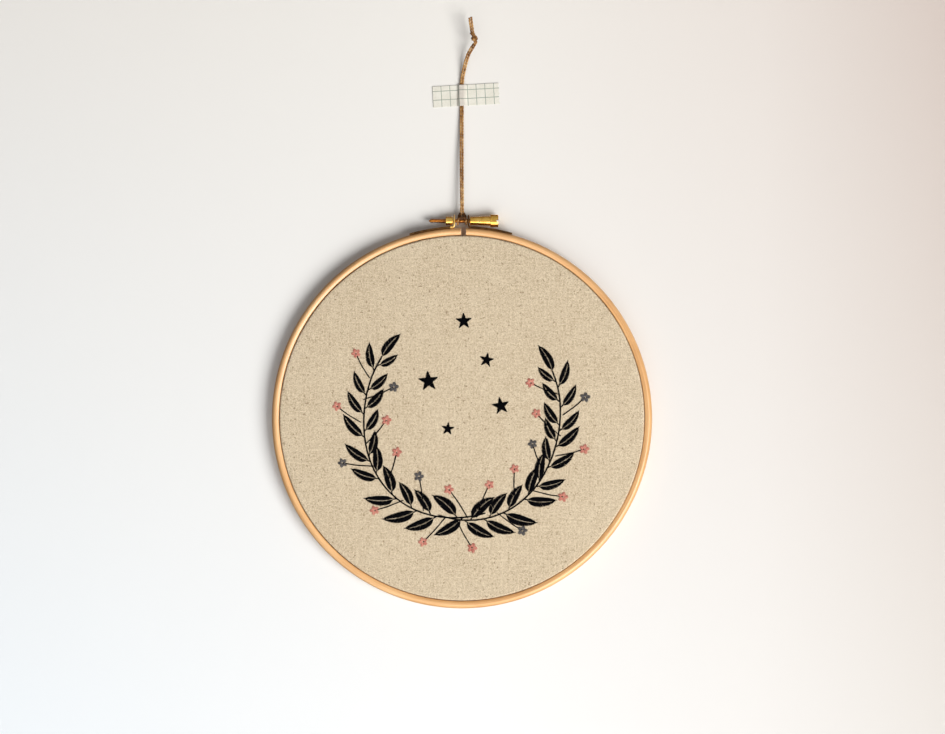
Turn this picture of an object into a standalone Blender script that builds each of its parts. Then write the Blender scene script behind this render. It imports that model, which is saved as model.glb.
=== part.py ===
# Hoop embroidery art as it hangs on a wall: linen stretched between the two wooden rings of an
# embroidery hoop, brass screw hardware at the top, and a doubled twine held by a strip of paper tape.
# Units are metres. +X is right, +Y runs into the wall and +Z is up. The wall is the plane Y = 0.
# The origin lies on the wall under the tape, on the line of the twine.

from math import cos, pi, radians, sin, sqrt

import bmesh
import bpy
from mathutils import Matrix, Vector

MM = 0.001
GAP = 0.3 * MM          # clearance between pieces that touch

# The hoop. The outer ring is split at the top, a little right of the twine.
HOOP_R = 108.0 * MM
HOOP_DEPTH = 9.0 * MM
HOOP_Z = -183.5 * MM
OUTER_WALL = 4.3 * MM
INNER_WALL = 4.5 * MM
OUTER_EDGE_R = 1.9 * MM     # rounding of the outer ring's front edges
BACK_EDGE_R = 0.8 * MM
SPLIT_X = 0.9 * MM
SPLIT_WIDTH = 2.8 * MM
RING_STEPS = 96

# The linen, a drum skin whose edge rolls over the inner ring and runs back between the rings.
LINEN_T = 1.0 * MM
LINEN_FRONT = 9.3 * MM      # height of the linen's face above the wall
LINEN_ROLL_R = 2.5 * MM
LINEN_R = HOOP_R - OUTER_WALL - GAP

# The brass hardware. The screw lies along X, in the middle of the hoop's depth.
AXIS_Y = -HOOP_DEPTH / 2
AXIS_Z = -71.4 * MM
SHANK_R = 1.2 * MM
HOLE_R = SHANK_R + GAP + 0.1 * MM
STRIP_T = 1.0 * MM
STRIP_WIDTH = 7.0 * MM
STRIP_BEND_R = 1.2 * MM
STRIP_R = HOOP_R + GAP + STRIP_T / 2
LEFT_EAR_X = -4.4 * MM
LEFT_STRIP_END_X = -29.8 * MM
RIGHT_EAR_X = 3.75 * MM
RIGHT_STRIP_END_X = 28.4 * MM
NUT_R = 2.4 * MM
NUT_LENGTH = 4.0 * MM
NUT_CHAMFER = 0.4 * MM
TIP_X = -19.1 * MM
TIP_LENGTH = 1.6 * MM
BARREL_X = RIGHT_EAR_X + STRIP_T / 2 + GAP
BARREL_R = 2.35 * MM
BARREL_FLARE_R = 2.85 * MM
HEAD_X = 16.1 * MM
HEAD_END_X = 20.7 * MM
HEAD_R = 3.55 * MM
HEAD_EDGE = 0.6 * MM
SLOT_WIDTH = 1.4 * MM
SLOT_DEPTH = 1.1 * MM
ROUND_STEPS = 32

# The twine: two parallel runs of jute from a lark's head on the screw to a knot above the tape.
TWINE_R = 0.6 * MM
TWINE_SIDE = TWINE_R + GAP / 2      # from the middle line to each run
RUN_POINT_STEP = 3.3 * MM
HITCH_POINT_STEP = 1.15 * MM

# Middle line of the two runs, from the lark's head up to the knot (x, y, z in millimetres).
RUN_ROUTE = (
    (0.0, -4.5, -67.7),
    (-0.2, -2.9, -36.9),
    (-0.2, -0.9, -9.0),
    (-0.1, -0.9, 7.0),
    (1.1, -2.0, 14.8),
    (3.4, -4.5, 22.7),
    (5.9, -6.5, 27.0),
    (7.0, -7.1, 28.8),
)

# Middle line of the two cut ends above the knot.
END_ROUTE = (
    (5.7, -7.8, 36.4),
    (5.1, -8.2, 39.8),
    (4.7, -8.5, 43.8),
)

# Left half of the lark's head, seen from the screw's axis: down from the leg's top, behind the
# shank, under it, up in front and along the bar to the middle. The right half mirrors it.
HITCH_HALF = (
    (-0.75, 0.0, 3.4),
    (-0.85, 0.25, 2.6),
    (-1.45, 1.2, 1.95),
    (-2.1, 2.1, 0.6),
    (-2.3, 1.7, -1.35),
    (-2.3, 0.0, -2.15),
    (-2.3, -1.7, -1.35),
    (-2.25, -2.15, 0.3),
    (-1.9, -1.95, 1.3),
    (-1.0, -1.8, 1.95),
    (0.0, -1.75, 2.15),
)

# The knot: a lump with a fuller lower half and one slanting wrap, leaning with the twine.
KNOT_CENTRE = Vector((6.6, -7.6, 32.8)) * MM
KNOT_LEAN = Vector((-1.6, -0.6, 6.0))
KNOT_STEPS = 20
WRAP_RING_R = 1.35 * MM
WRAP_R = 0.6 * MM
WRAP_TILT = radians(34)
WRAP_DROP = 0.8 * MM

# Radius and height of the lump from its middle, in millimetres, from its top down.
KNOT_PROFILE = (
    (0.0, 3.3),
    (1.0, 3.2),
    (1.3, 2.7),
    (1.25, 1.9),
    (1.45, 1.0),
    (1.65, 0.0),
    (1.65, -1.3),
    (1.5, -2.4),
    (1.1, -3.1),
    (0.0, -3.3),
)

# The tape, with a bump where it passes over the twine.
TAPE_LENGTH = 37.8 * MM
TAPE_WIDTH = 12.0 * MM
TAPE_T = 0.5 * MM
TAPE_CENTRE_X = 1.7 * MM
TAPE_TILT = radians(3.2)
BUMP_INNER = 1.8 * MM       # height of the bump's inside above the wall
BUMP_TOP_HALF = 1.9 * MM
BUMP_FOOT_HALF = 4.2 * MM
BUMP_FOOT_OUTSIDE = 0.55 * MM

# Colours from the object: linear red, green, blue, with roughness and metallic.
MATERIALS = {
    "wood": ((0.74, 0.42, 0.21), 0.5, 0.0),
    "linen": ((0.66, 0.54, 0.37), 0.95, 0.0),
    "brass": ((0.80, 0.55, 0.20), 0.28, 1.0),
    "twine": ((0.45, 0.24, 0.09), 0.9, 0.0),
    "tape": ((0.84, 0.84, 0.68), 0.7, 0.0),
}


def material(name):
    colour, roughness, metallic = MATERIALS[name]
    made = bpy.data.materials.new(name)
    made.use_nodes = True
    shader = made.node_tree.nodes["Principled BSDF"]
    shader.inputs["Base Color"].default_value = (*colour, 1)
    shader.inputs["Roughness"].default_value = roughness
    shader.inputs["Metallic"].default_value = metallic
    made.diffuse_color = (*colour, 1)
    return made


def link(obj, collection, material_name=None):
    collection.objects.link(obj)
    if material_name:
        obj.data.materials.append(material(material_name))
    return obj


def turned(name, profile, steps, material_name):
    """A closed or on-axis profile of (radius, height) turned about local Z, outer side downwards."""
    bm = bmesh.new()
    points = [bm.verts.new((radius, 0, height)) for radius, height in profile]
    for start, end in zip(points, points[1:]):
        bm.edges.new((start, end))
    if profile[0][0] > 0:
        bm.edges.new((points[-1], points[0]))
    mesh = bpy.data.meshes.new(name)
    bm.to_mesh(mesh)
    bm.free()
    obj = link(bpy.data.objects.new(name, mesh), PARTS, material_name)
    screw = obj.modifiers.new("Turn", "SCREW")
    screw.steps = steps
    screw.render_steps = steps
    screw.use_merge_vertices = True
    screw.merge_threshold = 0.00001
    screw.use_smooth_shade = True
    return obj


def corner(centre, radius, start, end, segments):
    """Points of a rounded corner in a (radius, height) profile, angles in degrees."""
    angles = [radians(start + (end - start) * i / segments) for i in range(segments + 1)]
    return [(centre[0] + radius * cos(a), centre[1] + radius * sin(a)) for a in angles]


def ring_profile(inner_r, outer_r, depth, front_r, back_r):
    """Rounded section of a wooden ring, from the front's inner corner round the outer side."""
    front = depth - front_r
    return (
        corner((inner_r + front_r, front), front_r, 180, 90, 3)
        + corner((outer_r - front_r, front), front_r, 90, 0, 3)
        + corner((outer_r - back_r, back_r), back_r, 0, -90, 2)
        + corner((inner_r + back_r, back_r), back_r, -90, -180, 2)
    )


def face_the_room(obj):
    """Turn a piece made about local Z so that its Z points out of the wall, at the hoop's centre."""
    obj.rotation_euler = (pi / 2, 0, 0)
    obj.location = (0, 0, HOOP_Z)
    return obj


def lie_along_x(obj, x=0.0):
    """Turn a piece made about local Z so that it lies along the screw's axis."""
    obj.rotation_euler = (0, pi / 2, 0)
    obj.location = (x, AXIS_Y, AXIS_Z)
    return obj


def flat_outline(name, outline, thickness):
    """A flat shape from its 2D outline, made a mesh with welded caps."""
    curve = bpy.data.curves.new(name + "_outline", "CURVE")
    curve.dimensions = "2D"
    curve.fill_mode = "BOTH"
    curve.extrude = thickness / 2
    spline = curve.splines.new("POLY")
    spline.points.add(len(outline) - 1)
    for point, (x, y) in zip(spline.points, outline):
        point.co = (x, y, 0, 1)
    spline.use_cyclic_u = True
    return as_mesh(name, bpy.data.objects.new(name + "_outline", curve))


def as_mesh(name, curve_object):
    """Turn a curve object into a welded mesh object, and remove the curve."""
    bpy.context.scene.collection.objects.link(curve_object)
    bpy.context.view_layer.update()
    evaluated = curve_object.evaluated_get(bpy.context.evaluated_depsgraph_get())
    mesh = bpy.data.meshes.new_from_object(evaluated)
    mesh.name = name
    bm = bmesh.new()
    bm.from_mesh(mesh)
    bmesh.ops.remove_doubles(bm, verts=bm.verts, dist=0.000001)
    bmesh.ops.recalc_face_normals(bm, faces=bm.faces)
    bm.to_mesh(mesh)
    bm.free()
    made = bpy.data.objects.new(name, mesh)
    made.matrix_world = curve_object.matrix_world
    bpy.data.objects.remove(curve_object)
    return made


def cutter(obj):
    CUTTERS.objects.link(obj)
    obj.hide_render = True
    obj.display_type = "WIRE"
    return obj


def boolean(obj, other, operation):
    modifier = obj.modifiers.new(operation.title(), "BOOLEAN")
    modifier.object = other
    modifier.operation = operation
    modifier.solver = "EXACT"


def box_cutter(name, size, centre):
    bm = bmesh.new()
    bmesh.ops.create_cube(bm, size=1.0, matrix=Matrix.Diagonal((*size, 1)))
    mesh = bpy.data.meshes.new(name)
    bm.to_mesh(mesh)
    bm.free()
    obj = cutter(bpy.data.objects.new(name, mesh))
    obj.location = centre
    return obj


def rod_cutter(name, radius, length, x):
    """A cutting rod along the screw's axis, its middle at x."""
    bm = bmesh.new()
    bmesh.ops.create_cone(bm, cap_ends=True, segments=ROUND_STEPS, radius1=radius, radius2=radius, depth=length)
    mesh = bpy.data.meshes.new(name)
    bm.to_mesh(mesh)
    bm.free()
    return lie_along_x(cutter(bpy.data.objects.new(name, mesh)), x)


def smooth_route(route, step):
    """Points at an even step along a smooth curve through a route given in millimetres."""
    route = [Vector(point) * MM for point in route]
    ends = [2 * route[0] - route[1], *route, 2 * route[-1] - route[-2]]
    fine = []
    substeps = 16
    for a, b, c, d in zip(ends, ends[1:], ends[2:], ends[3:]):
        for i in range(substeps):
            t = i / substeps
            fine.append(0.5 * (2 * b + (c - a) * t + (2 * a - 5 * b + 4 * c - d) * t * t
                               + (3 * b - a - 3 * c + d) * t ** 3))
    fine.append(route[-1])
    lengths = [0.0]
    for start, end in zip(fine, fine[1:]):
        lengths.append(lengths[-1] + (end - start).length)
    count = max(2, round(lengths[-1] / step))
    points = []
    j = 0
    for i in range(count + 1):
        wanted = lengths[-1] * i / count
        while j < len(fine) - 2 and lengths[j + 1] < wanted:
            j += 1
        part = (wanted - lengths[j]) / (lengths[j + 1] - lengths[j])
        points.append(fine[j].lerp(fine[j + 1], part))
    return points


def tube(name, points, radius, material_name):
    curve = bpy.data.curves.new(name, "CURVE")
    curve.dimensions = "3D"
    curve.bevel_depth = radius
    curve.bevel_resolution = 2
    curve.use_fill_caps = True
    spline = curve.splines.new("POLY")
    spline.points.add(len(points) - 1)
    for point, place in zip(spline.points, points):
        point.co = (*place, 1)
    return link(as_mesh(name, bpy.data.objects.new(name + "_line", curve)), PARTS, material_name)


def beside(points, distance):
    """The points moved sideways in the plane of the wall, square to the way they run."""
    moved = []
    for i, point in enumerate(points):
        ahead = points[min(i + 1, len(points) - 1)] - points[max(i - 1, 0)]
        moved.append(point + distance * Vector((ahead.z, 0, -ahead.x)).normalized())
    return moved


def build_outer_hoop():
    inner_r = HOOP_R - OUTER_WALL
    ring = turned("outer_hoop", ring_profile(inner_r, HOOP_R, HOOP_DEPTH, OUTER_EDGE_R, BACK_EDGE_R),
                  RING_STEPS, "wood")
    face_the_room(ring)
    split_size = (SPLIT_WIDTH, 3 * HOOP_DEPTH, 3 * OUTER_WALL)
    split_z = HOOP_Z + HOOP_R - OUTER_WALL / 2
    boolean(ring, box_cutter("split", split_size, (SPLIT_X, AXIS_Y, split_z)), "DIFFERENCE")


def build_inner_hoop():
    outer_r = LINEN_R - LINEN_T - GAP
    depth = LINEN_FRONT - LINEN_T - GAP
    edge_r = LINEN_ROLL_R - LINEN_T - GAP
    face_the_room(turned("inner_hoop", ring_profile(outer_r - INNER_WALL, outer_r, depth, edge_r, BACK_EDGE_R),
                         RING_STEPS, "wood"))


def build_linen():
    roll_centre = (LINEN_R - LINEN_ROLL_R, LINEN_FRONT - LINEN_ROLL_R)
    outside = corner(roll_centre, LINEN_ROLL_R, 90, 0, 5)
    inside = corner(roll_centre, LINEN_ROLL_R - LINEN_T, 0, 90, 4)
    profile = [(0.0, LINEN_FRONT), *outside, (LINEN_R, 0.0), (LINEN_R - LINEN_T, 0.0), *inside,
               (0.0, LINEN_FRONT - LINEN_T)]
    face_the_room(turned("linen", profile, RING_STEPS, "linen"))


def strip_path(side, ear_x, end_x):
    """Middle line of a brass strip: along the ring, round the bend and up the ear (x, z)."""
    bend_x = ear_x + side * STRIP_BEND_R
    steps = 8
    path = []
    for i in range(steps + 1):
        x = end_x + (bend_x - end_x) * i / steps
        path.append(Vector((x, HOOP_Z + sqrt(STRIP_R ** 2 - x ** 2))))
    bend_z = path[-1].y + STRIP_BEND_R
    for i in range(1, 5):
        a = radians(90 * i / 4)
        path.append(Vector((bend_x - side * STRIP_BEND_R * sin(a), bend_z - STRIP_BEND_R * cos(a))))
    path.append(Vector((ear_x, AXIS_Z + STRIP_WIDTH)))
    return path


def strip_outline(path, thickness):
    left = []
    right = []
    for i, point in enumerate(path):
        ahead = (path[min(i + 1, len(path) - 1)] - path[max(i - 1, 0)]).normalized()
        across = Vector((-ahead.y, ahead.x)) * thickness / 2
        left.append(point + across)
        right.append(point - across)
    return left + right[::-1]


def build_lug(name, side, ear_x, end_x):
    """A strip wider than needed, cut to a tongue whose round top is centred on the screw."""
    strip = flat_outline(name, strip_outline(strip_path(side, ear_x, end_x), STRIP_T), 1.4 * STRIP_WIDTH)
    strip.rotation_euler = (pi / 2, 0, 0)
    strip.location = (0, AXIS_Y, 0)
    link(strip, PARTS, "brass")
    foot = -5 * STRIP_WIDTH
    tongue = [(STRIP_WIDTH / 2, foot), *corner((0, 0), STRIP_WIDTH / 2, 0, 180, 16), (-STRIP_WIDTH / 2, foot)]
    length = abs(end_x - ear_x) + 4 * STRIP_BEND_R
    shape = cutter(flat_outline(name + "_tongue", tongue, length))
    shape.rotation_euler = (pi / 2, 0, pi / 2)
    shape.location = ((ear_x + end_x) / 2, AXIS_Y, AXIS_Z)
    boolean(strip, shape, "INTERSECT")
    boolean(strip, rod_cutter(name + "_hole", HOLE_R, 6 * STRIP_T, ear_x), "DIFFERENCE")


def build_nut():
    half = NUT_LENGTH / 2
    bevel = NUT_CHAMFER
    profile = [(HOLE_R, half), (NUT_R - bevel, half), (NUT_R, half - bevel), (NUT_R, bevel - half),
               (NUT_R - bevel, -half), (HOLE_R, -half)]
    nut_x = LEFT_EAR_X - STRIP_T / 2 - GAP - half
    lie_along_x(turned("nut", profile, ROUND_STEPS, "brass"), nut_x)


def build_screw():
    """Head, flared barrel, shank and pointed tip in one, turned about the joint's axis."""
    edge = HEAD_EDGE
    profile = [
        (0.0, HEAD_END_X),
        (HEAD_R - edge, HEAD_END_X),
        (HEAD_R - 0.3 * edge, HEAD_END_X - 0.3 * edge),
        (HEAD_R, HEAD_END_X - edge),
        (HEAD_R, HEAD_X + edge / 2),
        (HEAD_R - edge / 2, HEAD_X),
        (BARREL_FLARE_R, HEAD_X),
        (BARREL_FLARE_R - 0.1 * MM, HEAD_X - 2 * edge),
        (BARREL_R, BARREL_X + 4 * edge),
        (BARREL_R, BARREL_X + edge / 2),
        (BARREL_R - edge / 2, BARREL_X),
        (SHANK_R, BARREL_X),
        (SHANK_R, TIP_X + TIP_LENGTH),
        (0.35 * SHANK_R, TIP_X + 0.2 * TIP_LENGTH),
        (0.0, TIP_X),
    ]
    screw = lie_along_x(turned("screw", profile, ROUND_STEPS, "brass"))
    slot_size = (2 * SLOT_DEPTH, 4 * HEAD_R, SLOT_WIDTH)
    boolean(screw, box_cutter("slot", slot_size, (HEAD_END_X, AXIS_Y, AXIS_Z)), "DIFFERENCE")


def build_twine():
    runs = smooth_route(RUN_ROUTE, RUN_POINT_STEP)
    ends = smooth_route(END_ROUTE, RUN_POINT_STEP)
    for side, distance in (("left", -TWINE_SIDE), ("right", TWINE_SIDE)):
        tube("twine_" + side, beside(runs, distance), TWINE_R, "twine")
        tube("twine_end_" + side, beside(ends, distance), TWINE_R, "twine")
    mirrored = [(-x, y, z) for x, y, z in HITCH_HALF[-2::-1]]
    axis = Vector((0, AXIS_Y, AXIS_Z))
    hitch = [point + axis for point in smooth_route([*HITCH_HALF, *mirrored], HITCH_POINT_STEP)]
    tube("twine_hitch", hitch, TWINE_R, "twine")


def build_knot():
    profile = [(radius * MM, height * MM) for radius, height in KNOT_PROFILE]
    knot = turned("twine_knot", profile, KNOT_STEPS, "twine")
    lean = KNOT_LEAN.to_track_quat("Z", "Y").to_matrix().to_4x4()
    knot.matrix_world = Matrix.Translation(KNOT_CENTRE) @ lean
    bpy.ops.mesh.primitive_torus_add(major_radius=WRAP_RING_R, minor_radius=WRAP_R,
                                     major_segments=KNOT_STEPS, minor_segments=8)
    wrap = bpy.context.object
    wrap.name = "knot_wrap"
    for collection in list(wrap.users_collection):
        collection.objects.unlink(wrap)
    cutter(wrap)
    drop = Matrix.Translation((0, 0, -WRAP_DROP)) @ Matrix.Rotation(WRAP_TILT, 4, "Y")
    wrap.matrix_world = knot.matrix_world @ drop
    boolean(knot, wrap, "UNION")


def build_tape():
    """A bumped strip, extruded along the twine and cut to the tape's tilted rectangle."""
    half = TAPE_LENGTH
    slope_top = BUMP_TOP_HALF + BUMP_FOOT_OUTSIDE / 2
    slope_foot = BUMP_FOOT_HALF + BUMP_FOOT_OUTSIDE
    inner = [(BUMP_FOOT_HALF, 0.0), (BUMP_TOP_HALF, -BUMP_INNER)]
    outer = [(slope_top, -BUMP_INNER - TAPE_T), (slope_foot, -TAPE_T)]
    outline = [(-half, 0.0), *[(-x, y) for x, y in inner], *inner[::-1], (half, 0.0), (half, -TAPE_T),
               *outer[::-1], *[(-x, y) for x, y in outer], (-half, -TAPE_T)]
    tape = link(flat_outline("tape", outline, 2 * TAPE_WIDTH), PARTS, "tape")
    rectangle = [(sx * TAPE_LENGTH / 2, sz * TAPE_WIDTH / 2) for sx, sz in ((-1, -1), (1, -1), (1, 1), (-1, 1))]
    cut = cutter(flat_outline("tape_rectangle", rectangle, 10 * BUMP_INNER))
    cut.rotation_euler = (pi / 2, -TAPE_TILT, 0)
    cut.location = (TAPE_CENTRE_X, 0, 0)
    boolean(tape, cut, "INTERSECT")


for old in list(bpy.data.objects):
    bpy.data.objects.remove(old)

PARTS = bpy.data.collections.new("hoop_embroidery")
CUTTERS = bpy.data.collections.new("cutters")
bpy.context.scene.collection.children.link(PARTS)
bpy.context.scene.collection.children.link(CUTTERS)

build_outer_hoop()
build_inner_hoop()
build_linen()
build_lug("lug_left", -1, LEFT_EAR_X, LEFT_STRIP_END_X)
build_lug("lug_right", 1, RIGHT_EAR_X, RIGHT_STRIP_END_X)
build_nut()
build_screw()
build_twine()
build_knot()
build_tape()
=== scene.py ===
# Stitched linen in a wooden embroidery hoop, hung on a pale wall by a doubled jute twine that a
# strip of paper tape holds. Metres: +X right, +Y into the wall, +Z up. The wall is the plane Y = 0,
# and the origin lies on it under the tape, on the line of the twine.

from math import ceil, cos, pi, radians, sin, sqrt

import bmesh
import bpy
import numpy as np
from mathutils import Matrix, Vector


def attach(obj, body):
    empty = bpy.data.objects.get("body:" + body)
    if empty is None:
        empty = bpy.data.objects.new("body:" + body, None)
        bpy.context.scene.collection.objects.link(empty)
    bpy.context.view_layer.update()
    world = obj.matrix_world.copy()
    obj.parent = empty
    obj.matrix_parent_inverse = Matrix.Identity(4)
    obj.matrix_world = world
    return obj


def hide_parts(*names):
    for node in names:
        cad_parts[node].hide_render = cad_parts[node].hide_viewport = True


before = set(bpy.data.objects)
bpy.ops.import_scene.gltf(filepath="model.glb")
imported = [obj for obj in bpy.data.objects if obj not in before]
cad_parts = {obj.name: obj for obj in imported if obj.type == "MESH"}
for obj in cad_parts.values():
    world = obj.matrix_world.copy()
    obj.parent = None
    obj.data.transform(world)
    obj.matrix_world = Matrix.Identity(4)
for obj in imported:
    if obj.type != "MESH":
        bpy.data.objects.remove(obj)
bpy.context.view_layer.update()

# The camera. It looks straight at the wall from about arm's length, centred a little above and to
# the right of the hoop's middle, as the photograph does.
PHOTO_WIDTH = 945
PHOTO_CENTRE = (472.5, 367.0)
ORIGIN_PIXEL = (462.0, 95.0)
METRES_PER_PIXEL = 0.000568
LENS = 90.0
SENSOR = 36.0
SCALE_PLANE_Y = -0.006          # the plane, near the hoop's front, on which the pixel scale holds


def placed(name, data):
    """A new object of the scene that shows the data given."""
    made = bpy.data.objects.new(name, data)
    bpy.context.scene.collection.objects.link(made)
    return made


camera_data = bpy.data.cameras.new("camera")
camera_data.lens = LENS
camera_data.sensor_width = SENSOR
camera_data.clip_start = 0.01
camera = placed("camera", camera_data)
camera.location = (
    (PHOTO_CENTRE[0] - ORIGIN_PIXEL[0]) * METRES_PER_PIXEL,
    SCALE_PLANE_Y - PHOTO_WIDTH * METRES_PER_PIXEL * LENS / SENSOR,
    (ORIGIN_PIXEL[1] - PHOTO_CENTRE[1]) * METRES_PER_PIXEL,
)
camera.rotation_euler = (pi / 2, 0, 0)
bpy.context.scene.camera = camera
bpy.context.scene.view_settings.view_transform = "Standard"


# The room: a pale painted wall just behind the hoop, a pale floor well below it, and daylight that
# comes softly from the lower right. The wall shows only from its front, so that the back of the
# hoop can be looked at too.
def add(tree, kind, inputs=None, **settings):
    """A new node; its inputs are values or other nodes' outputs, by name or by number."""
    made = tree.nodes.new(kind)
    for name, value in settings.items():
        setattr(made, name, value)
    for name, value in (inputs or {}).items():
        if isinstance(value, bpy.types.NodeSocket):
            tree.links.new(value, made.inputs[name])
        else:
            made.inputs[name].default_value = value
    return made


def maths(tree, operation, *values):
    """A sum of one kind on values or sockets, and its result."""
    return add(tree, "ShaderNodeMath", dict(enumerate(values)), operation=operation).outputs[0]


def surface(name, roughness, **sockets):
    """A material whose Principled shader takes the values given, by socket name with underscores."""
    made = bpy.data.materials.new(name)
    made.use_nodes = True
    shader = made.node_tree.nodes["Principled BSDF"]
    shader.inputs["Roughness"].default_value = roughness
    for socket, value in sockets.items():
        shader.inputs[socket.replace("_", " ")].default_value = value
    return made, made.node_tree, shader


def ramp(tree, factor, *stops):
    """A colour ramp through (position, (red, green, blue)) stops, and its colour."""
    made = add(tree, "ShaderNodeValToRGB", {"Fac": factor})
    while len(made.color_ramp.elements) < len(stops):
        made.color_ramp.elements.new(0.5)
    for element, (position, colour) in zip(made.color_ramp.elements, stops):
        element.position = position
        element.color = (*colour, 1)
    return made.outputs["Color"]


def ranged(tree, value, low, high, to_low=0.0, to_high=1.0):
    """A value carried from one range to another, and held within it."""
    return add(tree, "ShaderNodeMapRange", {"Value": value, "From Min": low, "From Max": high,
                                            "To Min": to_low, "To Max": to_high}).outputs[0]


def blend(tree, factor, first, second):
    """Two colours mixed by a factor from 0 to 1."""
    return add(tree, "ShaderNodeMix", {0: factor, 6: first, 7: second}, data_type="RGBA").outputs[2]


def plane(name, corners):
    """A four-cornered sheet of the room, which is no part of the hoop."""
    mesh = bpy.data.meshes.new(name)
    mesh.from_pydata(corners, [], [(0, 1, 2, 3)])
    made = placed(name, mesh)
    return made


def one_sided(material, shader):
    """Let the material be seen from its front alone."""
    tree = material.node_tree
    clear = add(tree, "ShaderNodeBsdfTransparent")
    back = add(tree, "ShaderNodeNewGeometry")
    mixed = add(tree, "ShaderNodeMixShader",
                {0: back.outputs["Backfacing"], 1: shader.outputs[0], 2: clear.outputs[0]})
    tree.links.new(mixed.outputs[0], tree.nodes["Material Output"].inputs["Surface"])


WALL_Y = 0.0002
WALL_HALF_WIDTH = 3.0
WALL_TOP = 2.0
FLOOR_Z = -2.4
ROOM_DEPTH = 4.0
WALL_SHADE_SPAN_X = (-0.27, 0.28)     # the stretch of wall over which its painted shade changes
WALL_SHADE_SPAN_Z = (-0.36, 0.05)

wall = plane("wall", [(x, WALL_Y, z) for x, z in (
    (-WALL_HALF_WIDTH, FLOOR_Z), (WALL_HALF_WIDTH, FLOOR_Z),
    (WALL_HALF_WIDTH, WALL_TOP), (-WALL_HALF_WIDTH, WALL_TOP))])
wall_paint, tree, shader = surface("wall_paint", 0.9)
place = add(tree, "ShaderNodeTexCoord")
axes = add(tree, "ShaderNodeSeparateXYZ", {0: place.outputs["Object"]})
sideways = ranged(tree, axes.outputs["X"], *WALL_SHADE_SPAN_X)
upwards = ranged(tree, axes.outputs["Z"], *WALL_SHADE_SPAN_Z)
# Painted shade on the wall: its colour is paler and bluer at the lower left, and darker and warmer towards the right
# and the top, standing in for how the daylight falls off.
low = ramp(tree, sideways, (0.0, (0.87, 0.92, 0.965)), (0.5, (0.885, 0.89, 0.895)),
           (0.8, (0.79, 0.775, 0.76)), (1.0, (0.68, 0.65, 0.62)))
high = ramp(tree, sideways, (0.0, (0.875, 0.855, 0.825)), (0.5, (0.885, 0.86, 0.82)),
            (0.8, (0.785, 0.73, 0.69)), (1.0, (0.635, 0.55, 0.505)))
tree.links.new(blend(tree, upwards, low, high), shader.inputs["Base Color"])
one_sided(wall_paint, shader)
wall.data.materials.append(wall_paint)
wall.visible_shadow = False
wall.visible_diffuse = False
wall.visible_glossy = False

floor = plane("floor", [(x, y, FLOOR_Z) for x, y in (
    (-WALL_HALF_WIDTH, -ROOM_DEPTH), (WALL_HALF_WIDTH, -ROOM_DEPTH),
    (WALL_HALF_WIDTH, ROOM_DEPTH), (-WALL_HALF_WIDTH, ROOM_DEPTH))])
floor_paint, tree, shader = surface("floor_paint", 0.8, Base_Color=(0.8, 0.79, 0.77, 1))
one_sided(floor_paint, shader)
floor.data.materials.append(floor_paint)
floor.visible_glossy = False

HOOP_MIDDLE = Vector((0.0, 0.0, -0.1835))


def area_light(name, offset, size, power, colour):
    """A round lamp at an offset from the hoop's middle, facing it."""
    data = bpy.data.lights.new(name, "AREA")
    data.shape = "DISK"
    data.size = size
    data.energy = power
    data.color = colour
    lamp = placed(name, data)
    lamp.location = HOOP_MIDDLE + Vector(offset)
    lamp.rotation_euler = (-Vector(offset)).to_track_quat("-Z", "Y").to_euler()


area_light("window", (1.60, -1.95, -0.93), 1.85, 79.0, (1.0, 0.985, 0.96))
area_light("pale_table", (0.0, -1.30, -1.55), 1.9, 11.0, (1.0, 0.985, 0.96))
area_light("room_fill", (-1.3, -2.4, 0.2), 2.2, 5.0, (1.0, 0.99, 0.98))
area_light("behind", (0.6, 1.6, 0.6), 1.4, 9.0, (1.0, 1.0, 1.0))

world = bpy.data.worlds.new("room")
world.use_nodes = True
tree = world.node_tree
background = tree.nodes["Background"]
direction = add(tree, "ShaderNodeTexCoord").outputs["Generated"]
axes = add(tree, "ShaderNodeSeparateXYZ", {0: direction})
elevation = ranged(tree, axes.outputs["Z"], -1.0, 1.0)
reflected = ramp(tree, elevation, (0.0, (0.12, 0.09, 0.06)), (0.04, (1.5, 1.47, 1.40)),
                 (0.22, (2.1, 2.06, 1.98)), (0.27, (0.46, 0.445, 0.42)), (0.80, (0.56, 0.55, 0.53)),
                 (0.95, (0.40, 0.38, 0.35)))
from_wall = ranged(tree, axes.outputs["Y"], -0.05, 0.15)
reflected = blend(tree, from_wall, reflected, (0.20, 0.12, 0.07, 1))
rays = add(tree, "ShaderNodeLightPath")
lit = blend(tree, rays.outputs["Is Glossy Ray"], (0.14, 0.142, 0.146, 1), reflected)
seen = blend(tree, rays.outputs["Is Camera Ray"], lit, (0.84, 0.84, 0.83, 1))
tree.links.new(seen, background.inputs["Color"])
bpy.context.scene.world = world


# The twine. One length of thin jute, folded in half: its middle is looped round the screw as a
# lark's head, both runs rise side by side under the tape, and a tight overhand knot tied in the
# pair joins them below their cut ends. Each half is one cord, from the middle of the loop.
MM = 0.001
TWINE_R = 0.62 * MM
TWINE_SIDE = 0.58 * MM          # from the middle line to each run
TWINE_KNOT_R = 0.57 * MM        # squeezed in the knot
# how hard the knot presses the twine, which thins its fuzz and darkens it as painted shade
KNOT_PRESS_AND_SHADE = 0.3
TWINE_PITCH = 3.4 * MM          # length of one turn of the plies
TWINE_POINT_STEP = 0.3 * MM
SCREW_AXIS = Vector((0.0, -4.5, -71.4)) * MM
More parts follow.
